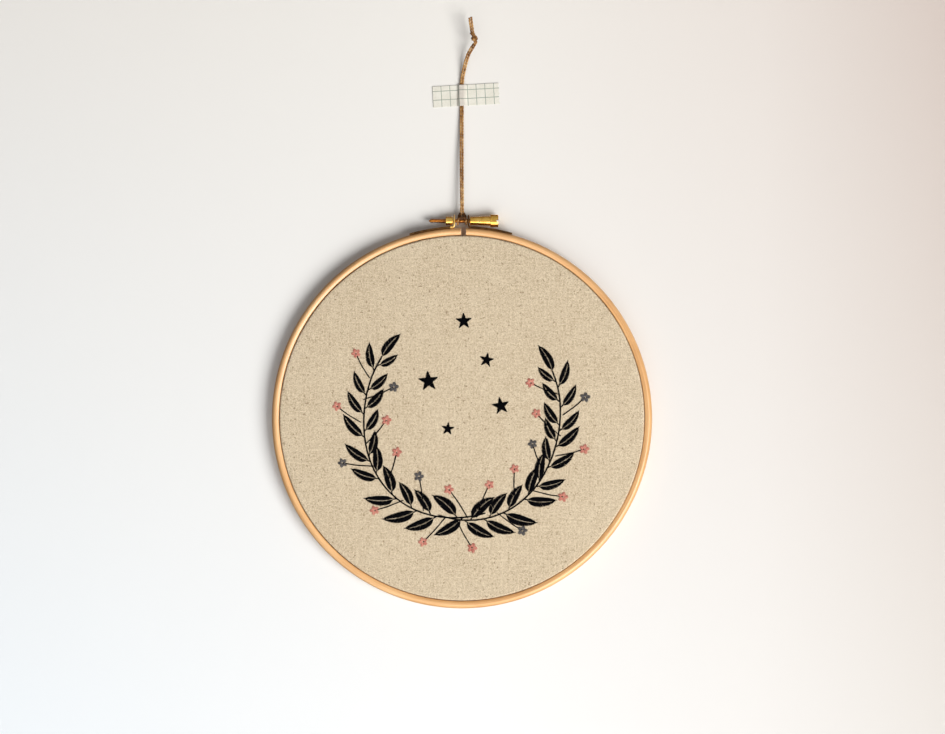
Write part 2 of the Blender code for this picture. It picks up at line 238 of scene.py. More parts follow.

# Left half of the lark's head about the screw's axis, from the middle of its bar to its leg's top:
# place, half width and how hard the twine is pressed there, which thins its fuzz and darkens it as painted shade.
HITCH_HALF = (
    (0.0, -1.75, 1.8, 0.92, 1.0),
    (-1.0, -1.8, 1.7, 0.88, 1.0),
    (-1.85, -1.95, 1.1, 0.76, 0.7),
    (-2.3, -2.0, 0.0, 0.66, 0.1),
    (-2.35, -1.4, -1.4, 0.62, 0.1),
    (-2.3, 0.0, -1.95, 0.60, 0.4),
    (-2.25, 1.45, -1.35, 0.60, 1.0),
    (-2.1, 1.95, 0.3, 0.66, 1.0),
    (-1.85, 1.1, 1.9, 0.76, 1.0),
    (-1.6, 0.2, 3.1, 0.80, 1.0),
    (-1.0, -0.1, 4.3, 0.72, 0.8),
)

# Middle line of the two runs, from the lark's head up to the knot.
RUN_ROUTE = (
    (0.0, -4.5, -66.5),
    (-0.2, -2.9, -36.9),
    (-0.2, -0.78, -9.0),
    (-0.1, -0.78, 7.0),
    (1.1, -2.0, 14.8),
    (3.4, -4.5, 22.7),
    (5.9, -6.5, 27.0),
)

# The knot, as rows of its middle line and of the step from there to each strand, in the knot's own
# axes: right, towards the room, and up along its lean. The pair goes up through the core, once
# round the outside from the top down, and up through the core again.
KNOT_CENTRE = Vector((6.6, -7.6, 32.8)) * MM
KNOT_LEAN = Vector((-1.6, -0.6, 6.0))
KNOT_ROUTE = (
    ((0.3, -0.2, -3.2), (0.55, 0.0, 0.0)),
    ((-0.1, -0.3, -1.9), (0.3, 0.35, 0.0)),
    ((-0.35, -0.3, 0.0), (0.0, 0.45, 0.0)),
    ((-0.5, -0.2, 1.5), (0.1, 0.4, -0.2)),
    ((-0.95, 0.55, 1.9), (0.2, 0.1, -0.42)),
    ((-0.35, 1.35, 1.3), (0.15, 0.0, -0.44)),
    ((0.9, 1.2, 0.0), (0.1, 0.0, -0.44)),
    ((1.5, 0.0, -1.1), (0.0, 0.1, -0.44)),
    ((0.8, -1.25, -1.2), (0.0, 0.0, -0.44)),
    ((-0.6, -1.3, -1.0), (0.0, 0.0, -0.44)),
    ((-1.15, -0.1, -0.9), (0.0, -0.1, -0.42)),
    ((-0.45, 0.75, -1.3), (0.25, -0.1, -0.3)),
    ((0.3, 0.35, -0.9), (0.3, -0.3, 0.0)),
    ((0.35, 0.2, 0.6), (0.35, -0.25, 0.0)),
    ((0.15, 0.1, 2.2), (0.45, -0.1, 0.0)),
    ((0.0, 0.0, 3.3), (0.55, 0.0, 0.0)),
)

# Middle line of the two cut ends above the knot.
END_ROUTE = (
    (5.6, -7.9, 37.4),
    (5.1, -8.2, 40.4),
    (4.7, -8.5, 43.8),
)


def smooth_route(rows, step):
    """Rows of numbers at an even step along a smooth curve; the first three are the place."""
    rows = [np.array(row, float) for row in rows]
    ends = [2 * rows[0] - rows[1], *rows, 2 * rows[-1] - rows[-2]]
    fine = []
    for a, b, c, d in zip(ends, ends[1:], ends[2:], ends[3:]):
        for t in np.linspace(0, 1, 24, endpoint=False):
            fine.append(0.5 * (2 * b + (c - a) * t + (2 * a - 5 * b + 4 * c - d) * t * t
                               + (3 * b - a - 3 * c + d) * t ** 3))
    fine = np.array([*fine, rows[-1]])
    lengths = np.concatenate([[0], np.cumsum(np.linalg.norm(np.diff(fine[:, :3], axis=0), axis=1))])
    even = np.linspace(0, lengths[-1], ceil(lengths[-1] / step) + 1)
    return np.stack([np.interp(even, lengths, fine[:, i]) for i in range(fine.shape[1])], axis=1)


def strand_rows(side):
    """Rows of one half of the twine: place, half width, pressing and painted shade. Side is -1 left or +1 right."""
    rows = []
    for x, y, z, half, pressed in HITCH_HALF:
        rows.append((*(SCREW_AXIS + Vector((-side * x, y, z)) * MM), half * MM, pressed))
    for i, point in enumerate(RUN_ROUTE):
        near = RUN_ROUTE[max(i - 1, 0)]
        far = RUN_ROUTE[min(i + 1, len(RUN_ROUTE) - 1)]
        across = Vector((far[2] - near[2], 0, near[0] - far[0])).normalized()
        rows.append((*(Vector(point) * MM + side * TWINE_SIDE * across), TWINE_R, 0.0))
    up = KNOT_LEAN.normalized()
    right = Vector((1, 0, 0)) - up * up.x
    right.normalize()
    out = right.cross(up)
    turn = Matrix((right, -out if out.y > 0 else out, up)).transposed()
    for middle, step in KNOT_ROUTE:
        strand = KNOT_CENTRE + turn @ (Vector(middle) + side * Vector(step)) * MM
        rows.append((*strand, TWINE_KNOT_R, KNOT_PRESS_AND_SHADE))
    for i, point in enumerate(END_ROUTE):
        splay = Vector((1, 0.2 * i, 0.25 * i))
        rows.append((*(Vector(point) * MM + side * TWINE_SIDE * splay), TWINE_R, 0.0))
    return rows


def new_tree(name, *inputs):
    """A Geometry Nodes tree with geometry in and out and inputs given as (name, kind, value)."""
    tree = bpy.data.node_groups.new(name, "GeometryNodeTree")
    tree.interface.new_socket("Geometry", in_out="OUTPUT", socket_type="NodeSocketGeometry")
    tree.interface.new_socket("Geometry", in_out="INPUT", socket_type="NodeSocketGeometry")
    for label, kind, value in inputs:
        socket = tree.interface.new_socket(label, in_out="INPUT", socket_type="NodeSocket" + kind)
        if value is not None:
            socket.default_value = value
    return tree, tree.nodes.new("NodeGroupInput"), tree.nodes.new("NodeGroupOutput")


def polyline(name, points, **numbers):
    """A mesh object of one open line, with a number for each point by name."""
    mesh = bpy.data.meshes.new(name)
    mesh.from_pydata([tuple(p) for p in points], [(i, i + 1) for i in range(len(points) - 1)], [])
    for label, values in numbers.items():
        mesh.attributes.new(label, "FLOAT", "POINT").data.foreach_set("value", values)
    return placed(name, mesh)


def evaluated_mesh(source, name):
    """A plain mesh of what an object's modifiers make."""
    bpy.context.view_layer.update()
    evaluated = source.evaluated_get(bpy.context.evaluated_depsgraph_get())
    mesh = bpy.data.meshes.new_from_object(evaluated)
    mesh.name = name
    return mesh


def grow(source, tree, name, **values):
    """Run a tree on an object and keep what it makes as a plain mesh object at the origin."""
    modifier = source.modifiers.new("grow", "NODES")
    modifier.node_group = tree
    for item in tree.interface.items_tree:
        if item.in_out == "INPUT" and item.name.replace(" ", "_") in values:
            modifier[item.identifier] = values[item.name.replace(" ", "_")]
    mesh = evaluated_mesh(source, name)
    bpy.data.objects.remove(source)
    return placed(name, mesh)


def finish(tree, out, geometry, material):
    """End a tree: realize what is instanced, set the material and pass it out."""
    real = add(tree, "GeometryNodeRealizeInstances", {0: geometry}).outputs[0]
    coated = add(tree, "GeometryNodeSetMaterial", {"Geometry": real, "Material": material})
    tree.links.new(coated.outputs[0], out.inputs[0])


def noise(tree, vector, scale, detail, roughness=0.5, w=None):
    """A noise texture's value, in four dimensions where a w is given."""
    inputs = {"Vector": vector, "Scale": scale, "Detail": detail, "Roughness": roughness}
    if w is None:
        return add(tree, "ShaderNodeTexNoise", inputs).outputs["Fac"]
    return add(tree, "ShaderNodeTexNoise", {"W": w, **inputs}, noise_dimensions="4D").outputs["Fac"]


def emboss(tree, shader, height, strength, distance):
    """Let a height show on the surface as a bump."""
    bump = add(tree, "ShaderNodeBump", {"Height": height, "Strength": strength, "Distance": distance})
    tree.links.new(bump.outputs[0], shader.inputs["Normal"])


def number(tree, name):
    """A number that a mesh carries under a name, for a material."""
    return add(tree, "ShaderNodeAttribute", attribute_name=name).outputs["Fac"]


def vector(tree, name):
    """A vector that a mesh carries under a name, for a material."""
    return add(tree, "ShaderNodeAttribute", attribute_name=name).outputs["Vector"]


jute, tree, shader = surface("jute", 0.85, Specular_IOR_Level=0.25, Sheen_Weight=0.08, Sheen_Roughness=0.5)
along = number(tree, "along")
around = vector(tree, "around")
spin = add(tree, "ShaderNodeSeparateXYZ", {0: around})
fibre_place = add(tree, "ShaderNodeCombineXYZ", {
    0: maths(tree, "MULTIPLY", spin.outputs[0], 2.6), 1: maths(tree, "MULTIPLY", spin.outputs[1], 2.6),
    2: maths(tree, "MULTIPLY", along, 900.0)}).outputs[0]
fibres = noise(tree, fibre_place, 1.6, 5.0, 0.7)
blotches = noise(tree, add(tree, "ShaderNodeTexCoord").outputs["Object"], 420.0, 3.0)
tone = maths(tree, "ADD", maths(tree, "MULTIPLY", fibres, 0.5), maths(tree, "MULTIPLY", blotches, 0.5))
# Painted shade: the twine is darkened where it is pressed in the lark's head and the knot, and in the grooves between
# its plies.
pressed = number(tree, "pressed")
groove = maths(tree, "SUBTRACT", 1.0, maths(tree, "ABSOLUTE", spin.outputs[0]))
shade = maths(tree, "ADD", maths(tree, "MULTIPLY", pressed, 0.19), maths(tree, "MULTIPLY", groove, 0.07))
tone = maths(tree, "SUBTRACT", tone, shade)
tree.links.new(ramp(tree, tone, (0.33, (0.07, 0.025, 0.005)), (0.43, (0.30, 0.13, 0.035)),
                    (0.54, (0.60, 0.34, 0.125)), (0.66, (0.92, 0.68, 0.37))), shader.inputs["Base Color"])
emboss(tree, shader, fibres, 0.9, 0.0001)

PROFILE_POINTS = 18
PLY_GROOVE = 0.72               # radius at the groove between two plies, of the full radius

tree, given, out = new_tree("lay_twine", ("Pitch", "Float", TWINE_PITCH), ("Material", "Material", None))
line = add(tree, "GeometryNodeMeshToCurve", {0: given.outputs["Geometry"]}).outputs[0]
length = add(tree, "GeometryNodeSplineParameter").outputs["Length"]
turns = maths(tree, "DIVIDE", length, given.outputs["Pitch"])
line = add(tree, "GeometryNodeSetCurveTilt",
           {"Curve": line, "Tilt": maths(tree, "MULTIPLY", turns, 2 * pi)}).outputs[0]
line = add(tree, "GeometryNodeStoreNamedAttribute",
           {"Geometry": line, "Name": "along", "Value": length}).outputs[0]
ring = add(tree, "GeometryNodeCurvePrimitiveCircle", {"Resolution": PROFILE_POINTS, "Radius": 1.0}).outputs[0]
index = add(tree, "GeometryNodeInputIndex").outputs[0]
lobe = maths(tree, "ABSOLUTE", maths(tree, "COSINE", maths(tree, "MULTIPLY", index, 2 * pi / PROFILE_POINTS)))
swell = maths(tree, "ADD", maths(tree, "MULTIPLY", lobe, 1 - PLY_GROOVE), PLY_GROOVE)
where = add(tree, "GeometryNodeInputPosition").outputs[0]
ring = add(tree, "GeometryNodeStoreNamedAttribute",
           {"Geometry": ring, "Name": "around", "Value": where}, data_type="FLOAT_VECTOR").outputs[0]
lobed = add(tree, "ShaderNodeVectorMath", {0: where, "Scale": swell}, operation="SCALE").outputs[0]
ring = add(tree, "GeometryNodeSetPosition", {"Geometry": ring, "Position": lobed}).outputs[0]
width = add(tree, "GeometryNodeInputNamedAttribute", {"Name": "half_width"}).outputs[0]
tube = add(tree, "GeometryNodeCurveToMesh", {"Curve": line, "Profile Curve": ring, "Scale": width,
                                             "Fill Caps": True}).outputs[0]
finish(tree, out, tube, given.outputs["Material"])
lay_twine = tree

FUZZ_LENGTH = 0.7 * MM
FUZZ_R = 0.013 * MM
FUZZ_DENSITY = 0.5e6            # hairs for each square metre of twine

tree, given, out = new_tree("raise_fuzz", ("Density", "Float", FUZZ_DENSITY),
                            ("Hair length", "Float", FUZZ_LENGTH), ("Hair radius", "Float", FUZZ_R),
                            ("Seed", "Int", 4), ("Material", "Material", None))
held = add(tree, "GeometryNodeInputNamedAttribute", {"Name": "pressed"}).outputs[0]
loose = maths(tree, "MULTIPLY", given.outputs["Density"], maths(tree, "SUBTRACT", 1.0, held))
spots = add(tree, "GeometryNodeDistributePointsOnFaces",
            {"Mesh": given.outputs["Geometry"], "Density": loose, "Seed": given.outputs["Seed"]})
lean = add(tree, "FunctionNodeRandomValue", {0: (-1.1, -1.1, 0.0), 1: (1.1, 1.1, 6.0), "Seed": 7},
           data_type="FLOAT_VECTOR").outputs[0]
turned_spot = add(tree, "FunctionNodeRotateRotation",
                  {0: spots.outputs["Rotation"], 1: add(tree, "FunctionNodeEulerToRotation", {0: lean}).outputs[0]},
                  rotation_space="LOCAL").outputs[0]
tip = add(tree, "ShaderNodeCombineXYZ", {0: 0.45 * MM, 2: given.outputs["Hair length"]}).outputs[0]
hair = add(tree, "GeometryNodeCurveQuadraticBezier", {"Resolution": 4, "Start": (0, 0, 0), "End": tip,
                                                      "Middle": (0.2 * MM, 0, 0.35 * MM)})
strand = add(tree, "GeometryNodeCurvePrimitiveCircle", {"Resolution": 3, "Radius": given.outputs["Hair radius"]})
fuzz = add(tree, "GeometryNodeCurveToMesh", {"Curve": hair.outputs[0], "Profile Curve": strand.outputs[0],
                                             "Fill Caps": True}).outputs[0]
size = add(tree, "FunctionNodeRandomValue", {2: 0.4, 3: 1.2, "Seed": 9}).outputs[1]
hairs = add(tree, "GeometryNodeInstanceOnPoints", {"Points": spots.outputs["Points"], "Instance": fuzz,
                                                   "Rotation": turned_spot, "Scale": size}).outputs[0]
finish(tree, out, hairs, given.outputs["Material"])
raise_fuzz = tree

for name, side, nodes in (("twine_left_half", -1, ("twine_hitch", "twine_left", "twine_end_left")),
                          ("twine_right_half", 1, ("twine_knot", "twine_right", "twine_end_right"))):
    rows = smooth_route(strand_rows(side), TWINE_POINT_STEP)
    line = polyline(name + "_line", rows[:, :3], half_width=rows[:, 3], pressed=rows[:, 4])
    twine = grow(line, lay_twine, name, Material=jute)
    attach(twine, "hoop")
    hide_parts(*nodes)
    hairs = grow(placed(name + "_copy", twine.data.copy()), raise_fuzz, name + "_fuzz", Material=jute)
    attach(hairs, "hoop")


# The inner hoop: a closed ring of light wood with small rounded edges. The linen is stretched over
# its front, so only its back and its inside show, from behind.
HOOP_R = 108.0 * MM
HOOP_DEPTH = 9.0 * MM
OUTER_WALL = 4.3 * MM
INNER_RING_R = 102.3 * MM       # outside of the inner hoop
INNER_RING_WALL = 4.7 * MM
INNER_RING_DEPTH = 8.2 * MM
INNER_EDGE_R = 0.6 * MM
BACK_EDGE_R = 0.8 * MM
RING_STEPS = 360
GRAIN_LENGTH = 34.0 * MM
GRAIN_WIDTH = 0.36 * MM


def corner(centre, radius, start, end, segments):
    """Points of a rounded corner in a (radius, height) profile, angles in degrees."""
    angles = np.radians(np.linspace(start, end, segments + 1))
    return [(centre[0] + radius * cos(a), centre[1] + radius * sin(a)) for a in angles]


def ring_profile(inner_r, outer_r, depth, front_r, back_r):
    """Rounded section of a wooden ring, from the front's inner corner round the outer side."""
    front = depth - front_r
    return (
        corner((inner_r + front_r, front), front_r, 180, 90, 8)
        + corner((outer_r - front_r, front), front_r, 90, 0, 8)
        + corner((outer_r - back_r, back_r), back_r, 0, -90, 4)
        + corner((inner_r + back_r, back_r), back_r, -90, -180, 4)
    )


def on_hoop(radius, height, angle):
    """Place of a point of a ring's section: the angle runs from the top to the right."""
    return radius * sin(angle), -height, radius * cos(angle) + HOOP_MIDDLE.z


def on_screw(radius, height, angle):
    """Place of a point turned about the screw's axis; height runs along +X."""
    return height, SCREW_AXIS.y + radius * cos(angle), SCREW_AXIS.z + radius * sin(angle)


def turned(name, profile, angles, place, whole_turn=True, loop=True, sharp=40):
    """A (radius, height) profile turned through the angles; loop closes the profile on itself."""
    n, m = len(angles), len(profile)
    points = [place(radius, height, angle) for angle in angles for radius, height in profile]
    faces = [(i * m + j, (i + 1) % n * m + j, (i + 1) % n * m + (j + 1) % m, i * m + (j + 1) % m)
             for i in range(n if whole_turn else n - 1) for j in range(m if loop else m - 1)]
    if not whole_turn:
        faces += [tuple(range(m)), tuple(range(n * m - 1, n * m - m - 1, -1))]
    mesh = bpy.data.meshes.new(name)
    mesh.from_pydata(points, [], faces)
    tidy(mesh, sharp)
    return placed(name, mesh)


def tidy(mesh, sharp=40):
    """Weld a mesh, point its faces outwards, and shade it smooth but for its sharp edges."""
    bm = bmesh.new()
    bm.from_mesh(mesh)
    bmesh.ops.remove_doubles(bm, verts=bm.verts, dist=1e-7)
    bmesh.ops.recalc_face_normals(bm, faces=bm.faces)
    bm.to_mesh(mesh)
    bm.free()
    mesh.shade_smooth()
    mesh.set_sharp_from_angle(angle=radians(sharp))


def dress(piece, material, slot, body, *nodes):
    """Give a piece its material, the body it rides on and the nodes it replaces; the slot is not used."""
    if not piece.data.materials:
        piece.data.materials.append(material)
    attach(piece, body)
    if nodes:
        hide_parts(*nodes)
    return piece


wood, tree, shader = surface("hoop_wood", 0.45, Specular_IOR_Level=0.6, Coat_Weight=0.85, Coat_Roughness=0.3)
place = add(tree, "ShaderNodeTexCoord")
centred = add(tree, "ShaderNodeMapping", {"Vector": place.outputs["Object"],
                                          "Location": (0, 0, -HOOP_MIDDLE.z)}).outputs[0]
axes = add(tree, "ShaderNodeSeparateXYZ", {0: centred})
x, y, z = axes.outputs
squares = maths(tree, "ADD", maths(tree, "MULTIPLY", x, x), maths(tree, "MULTIPLY", z, z))
radius = maths(tree, "SQRT", squares)
across = add(tree, "ShaderNodeCombineXYZ", {
    0: maths(tree, "DIVIDE", radius, GRAIN_WIDTH), 1: maths(tree, "DIVIDE", y, GRAIN_WIDTH),
    2: maths(tree, "DIVIDE", x, GRAIN_LENGTH)}).outputs[0]
along = maths(tree, "DIVIDE", z, GRAIN_LENGTH)
grain = noise(tree, across, 1.0, 5.0, 0.62, w=along)
bands = noise(tree, across, 0.22, 3.0, w=along)
patches = noise(tree, centred, 38.0, 3.0)
pores = ranged(tree, noise(tree, across, 2.3, 2.0, w=along), 0.64, 0.72)
tone = maths(tree, "ADD", maths(tree, "MULTIPLY", grain, 0.40),
             maths(tree, "ADD", maths(tree, "MULTIPLY", bands, 0.35), maths(tree, "MULTIPLY", patches, 0.25)))
grown = ramp(tree, tone, (0.36, (0.56, 0.25, 0.08)), (0.46, (0.75, 0.395, 0.145)),
             (0.54, (0.86, 0.485, 0.20)), (0.64, (0.95, 0.595, 0.28)))
flecked = blend(tree, maths(tree, "MULTIPLY", pores, 0.45), grown, (0.34, 0.14, 0.06, 1))
tree.links.new(flecked, shader.inputs["Base Color"])
emboss(tree, shader, maths(tree, "SUBTRACT", grain, pores), 0.5, 0.00008)
tree.links.new(ranged(tree, grain, 0.0, 1.0, 0.38, 0.58), shader.inputs["Roughness"])

whole_turn = np.linspace(0, 2 * pi, RING_STEPS, endpoint=False)
section = ring_profile(INNER_RING_R - INNER_RING_WALL, INNER_RING_R, INNER_RING_DEPTH, INNER_EDGE_R,
                       BACK_EDGE_R)
inner_hoop = turned("inner_hoop_wood", section, whole_turn, on_hoop)
dress(inner_hoop, wood, "hoop_wood", "hoop", "inner_hoop")


# The linen: one round of natural plain-woven linen, pulled tight as a drum over the inner hoop. Its
# edge rolls over the ring and runs back between the two hoops, where it is trimmed flush.
LINEN_R = 103.4 * MM
LINEN_T = 0.8 * MM
LINEN_FRONT = 9.3 * MM
LINEN_ROLL_R = 0.9 * MM
THREAD_PITCH = 0.74 * MM
SLUB_LENGTH = 3.0 * MM
RIPPLES_FROM = 62.0             # radius in mm where the ripples start, and how far they take to grow
RIPPLES_GROW = 36.0
RIPPLE_HEIGHT = 0.05 * MM


def on_drum(radius, height, angle):
    """Place of a point of the cloth, with the faint ripples that the pull leaves near the rim."""
    pull = max(0.0, min(1.0, (radius / MM - RIPPLES_FROM) / RIPPLES_GROW))
    ripple = sin(19 * angle + 1.3) + 0.7 * sin(31 * angle + 0.4) + 0.6 * sin(8 * angle + 2.0)
    lift = RIPPLE_HEIGHT * pull * pull * ripple if height > LINEN_FRONT - 0.2 * MM else 0.0
    return on_hoop(radius, height + lift, angle)


face = [(radius, LINEN_FRONT) for radius in np.linspace(0, LINEN_R - LINEN_ROLL_R, 46)]
roll = corner((LINEN_R - LINEN_ROLL_R, LINEN_FRONT - LINEN_ROLL_R), LINEN_ROLL_R, 90, 0, 8)
skirt = [(LINEN_R, height) for height in np.linspace(LINEN_FRONT - LINEN_ROLL_R, 0.1 * MM, 5)[1:]]
drum = turned("linen_drum", face + roll[1:] + skirt, whole_turn[::2], on_drum, loop=False)
thicken = drum.modifiers.new("thicken", "SOLIDIFY")
thicken.thickness = LINEN_T
thicken.offset = -1
linen_mesh = evaluated_mesh(drum, "linen_cloth")
bpy.data.objects.remove(drum)
tidy(linen_mesh, 60)
linen_cloth = placed("linen_cloth", linen_mesh)

linen, tree, shader = surface("linen_weave", 0.92, Sheen_Weight=0.12, Sheen_Roughness=0.5)
place = add(tree, "ShaderNodeTexCoord").outputs["Object"]
x, y, z = add(tree, "ShaderNodeSeparateXYZ", {0: place}).outputs


def threads(across_way, along_way, wander, seed):
    """The threads that run one way: their wave, + and - by turns, and each one's own uneven tone."""
    place_across = maths(tree, "ADD", maths(tree, "DIVIDE", across_way, THREAD_PITCH), wander)
    wave = maths(tree, "SINE", maths(tree, "MULTIPLY", place_across, pi))
    own_number = maths(tree, "MULTIPLY", maths(tree, "FLOOR", place_across), 7.31)
    own_place = add(tree, "ShaderNodeCombineXYZ", {
        0: own_number, 1: maths(tree, "DIVIDE", along_way, SLUB_LENGTH), 2: seed}).outputs[0]
    return wave, noise(tree, own_place, 1.0, 4.0, 0.9)


drift = maths(tree, "MULTIPLY", noise(tree, place, 60.0, 2.0), 0.9)
warp_wave, warp_tone = threads(x, z, drift, 1.5)
weft_wave, weft_tone = threads(z, x, drift, 7.5)
crossing = maths(tree, "MULTIPLY", warp_wave, weft_wave)
over = ranged(tree, crossing, -0.3, 0.3)
thread_tone = add(tree, "ShaderNodeMix", {0: over, 2: weft_tone, 3: warp_tone}).outputs[0]
raised = maths(tree, "MULTIPLY", crossing, 0.4)
weave = maths(tree, "MAXIMUM", maths(tree, "ADD", maths(tree, "ABSOLUTE", warp_wave), raised),
              maths(tree, "SUBTRACT", maths(tree, "ABSOLUTE", weft_wave), raised))
fleck = noise(tree, place, 1500.0, 2.0, 0.6)
coarse = noise(tree, place, 45.0, 4.0)
tone = 0.0
# The weave's height is mixed into the tone as painted shade: the crowns of the threads lighter, the gaps between them
# darker.
for layer, share in ((thread_tone, 0.50), (fleck, 0.36), (weave, 0.115), (coarse, 0.04)):
    tone = maths(tree, "ADD", tone, maths(tree, "MULTIPLY", layer, share))
woven = ramp(tree, tone, (0.39, (0.244, 0.166, 0.091)), (0.46, (0.473, 0.361, 0.230)),
             (0.535, (0.619, 0.497, 0.340)), (0.63, (0.81, 0.692, 0.513)))
specks = ranged(tree, noise(tree, place, 620.0, 2.0), 0.655, 0.72)
speckled = blend(tree, maths(tree, "MULTIPLY", specks, 0.7), woven, (0.25, 0.155, 0.08, 1))
tree.links.new(speckled, shader.inputs["Base Color"])
emboss(tree, shader, maths(tree, "ADD", weave, maths(tree, "MULTIPLY", thread_tone, 0.9)), 0.8, 0.00014)

dress(linen_cloth, linen, "linen", "hoop", "linen")


# The stitching, in stranded cotton: two leafy sprigs that cross at the bottom and rise round the
# cloth as an open wreath, with small blossoms along them and stars between. Every stitch is a thread
# of its own, drawn flat on the cloth (right, up, height in millimetres) and then put in its place.
THREAD_WIDTH = 0.42 * MM
THREAD_HEIGHT = 0.26 * MM
THREAD_ARCH = 0.16 * MM
LONGEST_RUN = 15.0 * MM         # between two stitches, on the back, before the thread is cut
WREATH_R = 57.0

chance = np.random.default_rng(11)
CLOTH_TO_SCENE = (Matrix.Translation((0, -LINEN_FRONT, HOOP_MIDDLE.z)) @ Matrix.Rotation(pi / 2, 4, "X"))

tree, given, out = new_tree("lay_stitches", ("Thread width", "Float", THREAD_WIDTH),
                            ("Thread height", "Float", THREAD_HEIGHT), ("Arch", "Float", THREAD_ARCH),
                            ("Points", "Int", 5), ("Sides", "Int", 6), ("Material", "Material", None))
line = add(tree, "GeometryNodeMeshToCurve", {0: given.outputs["Geometry"]}).outputs[0]
line = add(tree, "GeometryNodeResampleCurve", {"Curve": line, "Count": given.outputs["Points"]}).outputs[0]
part = add(tree, "GeometryNodeSplineParameter")
from_middle = maths(tree, "SUBTRACT", maths(tree, "MULTIPLY", part.outputs["Factor"], 2.0), 1.0)
arched = maths(tree, "SUBTRACT", 1.0, maths(tree, "MULTIPLY", from_middle, from_middle))
rise = add(tree, "ShaderNodeCombineXYZ", {2: maths(tree, "MULTIPLY", arched, given.outputs["Arch"])}).outputs[0]
line = add(tree, "GeometryNodeSetPosition", {"Geometry": line, "Offset": rise}).outputs[0]
line = add(tree, "GeometryNodeSetCurveNormal", {"Curve": line}, mode="Z_UP").outputs[0]
line = add(tree, "GeometryNodeStoreNamedAttribute",
           {"Geometry": line, "Name": "along", "Value": part.outputs["Length"]}).outputs[0]
ring = add(tree, "GeometryNodeCurvePrimitiveCircle", {"Resolution": given.outputs["Sides"], "Radius": 0.5}).outputs[0]
flat = add(tree, "ShaderNodeCombineXYZ", {0: given.outputs["Thread width"], 1: given.outputs["Thread height"],
                                          2: 1.0}).outputs[0]
ring = add(tree, "GeometryNodeStoreNamedAttribute",
           {"Geometry": ring, "Name": "around", "Value": add(tree, "GeometryNodeInputPosition").outputs[0]},
           data_type="FLOAT_VECTOR").outputs[0]
ring = add(tree, "GeometryNodeTransform", {"Geometry": ring, "Scale": flat}).outputs[0]
taper = maths(tree, "ADD", maths(tree, "MULTIPLY", maths(tree, "SQRT", maths(tree, "MAXIMUM", arched, 0.0)), 0.45), 0.55)
thread = add(tree, "GeometryNodeCurveToMesh", {"Curve": line, "Profile Curve": ring, "Scale": taper,
                                               "Fill Caps": True}).outputs[0]
finish(tree, out, thread, given.outputs["Material"])
lay_stitches = tree


def floss(name, dark, middle, light, roughness, specular, sheen):
    """Stranded cotton: a satin thread whose fine strands and stitches vary in tone."""
    made, tree, shader = surface(name, roughness, Specular_IOR_Level=specular, Sheen_Weight=sheen,
                                 Sheen_Roughness=0.4)
    tone = number(tree, "tone")
    along = number(tree, "along")
    around = add(tree, "ShaderNodeSeparateXYZ",
                 {0: vector(tree, "around")})
    strand_place = add(tree, "ShaderNodeCombineXYZ", {0: maths(tree, "MULTIPLY", around.outputs[0], 7.0),
                                                      1: maths(tree, "MULTIPLY", around.outputs[1], 7.0),
                                                      2: maths(tree, "MULTIPLY", along, 500.0)})
    strands = add(tree, "ShaderNodeTexNoise", {"Vector": strand_place.outputs[0], "Scale": 1.0,
                                               "Detail": 2.0}).outputs["Fac"]
    mixed = maths(tree, "ADD", maths(tree, "MULTIPLY", tone, 0.55), maths(tree, "MULTIPLY", strands, 0.45))
    tree.links.new(ramp(tree, mixed, (0.25, dark), (0.5, middle), (0.75, light)), shader.inputs["Base Color"])
    bump = add(tree, "ShaderNodeBump", {"Height": strands, "Strength": 0.6, "Distance": 0.00008})
    tree.links.new(bump.outputs[0], shader.inputs["Normal"])
    return made


black_floss = floss("black_floss", (0.001, 0.001, 0.0015), (0.002, 0.002, 0.003), (0.004, 0.004, 0.005), 0.8, 0.02, 0.0)
pink_floss = floss("pink_floss", (0.40, 0.125, 0.095), (0.56, 0.20, 0.15), (0.70, 0.33, 0.25), 0.7, 0.3, 0.08)
grey_floss = floss("grey_floss", (0.04, 0.037, 0.037), (0.075, 0.068, 0.067), (0.13, 0.118, 0.115), 0.7, 0.3, 0.04)


def stitch(group, start, end, height=0.08, loose=0.06):
    """One stitch from start to end (right, up), with a needle's small error at each end."""
    start = np.array(start) + chance.normal(0, loose, 2)
    end = np.array(end) + chance.normal(0, loose, 2)
    group.append((*start, *end, height, chance.uniform(0.1, 0.9)))


def heading(degrees):
    return np.array([cos(radians(degrees)), sin(radians(degrees))])


def leaf(group, base, angle, length, width, bend):
    """A leaf in fishbone stitch: slanting stitches from an open midrib out to both edges."""
    count = round(length / 0.40)

    def rib(t):
        return np.array(base) + length * t * heading(angle + bend * (t - 0.5))

    for i in range(count):
        for side in (-1, 1):
            t = (i + (0.5 if side > 0 else 0.0)) / count
            reach = min(1.0, t + 0.16 * (1 - 0.6 * t))
            outline = width / 2 * (4 * reach * (1 - reach)) ** 0.62 * (1.12 - 0.30 * reach)
            normal = heading(angle + bend * (t - 0.5) + 90) * side
            stitch(group, rib(t) + 0.12 * normal, rib(reach) + max(outline, 0.12) * normal, 0.10, 0.05)
    stitch(group, rib(0.93), rib(1.06), 0.14, 0.03)


def stem(group, points, width=0.5):
    """Stem stitch: each stitch starts half way along the last one, on the stem's other side."""
    rows = smooth_route([(*p, 0.0) for p in points], 1.5)[:, :2]
    for i in range(len(rows) - 2):
        ahead = rows[i + 2] - rows[i]
        normal = np.array([-ahead[1], ahead[0]]) / np.linalg.norm(ahead)
        for side in (-1, 1):
            stitch(group, rows[i] + side * width * 0.35 * normal, rows[i + 2] + (side * 0.35 + 0.25) * width * normal,
                   0.07, 0.05)


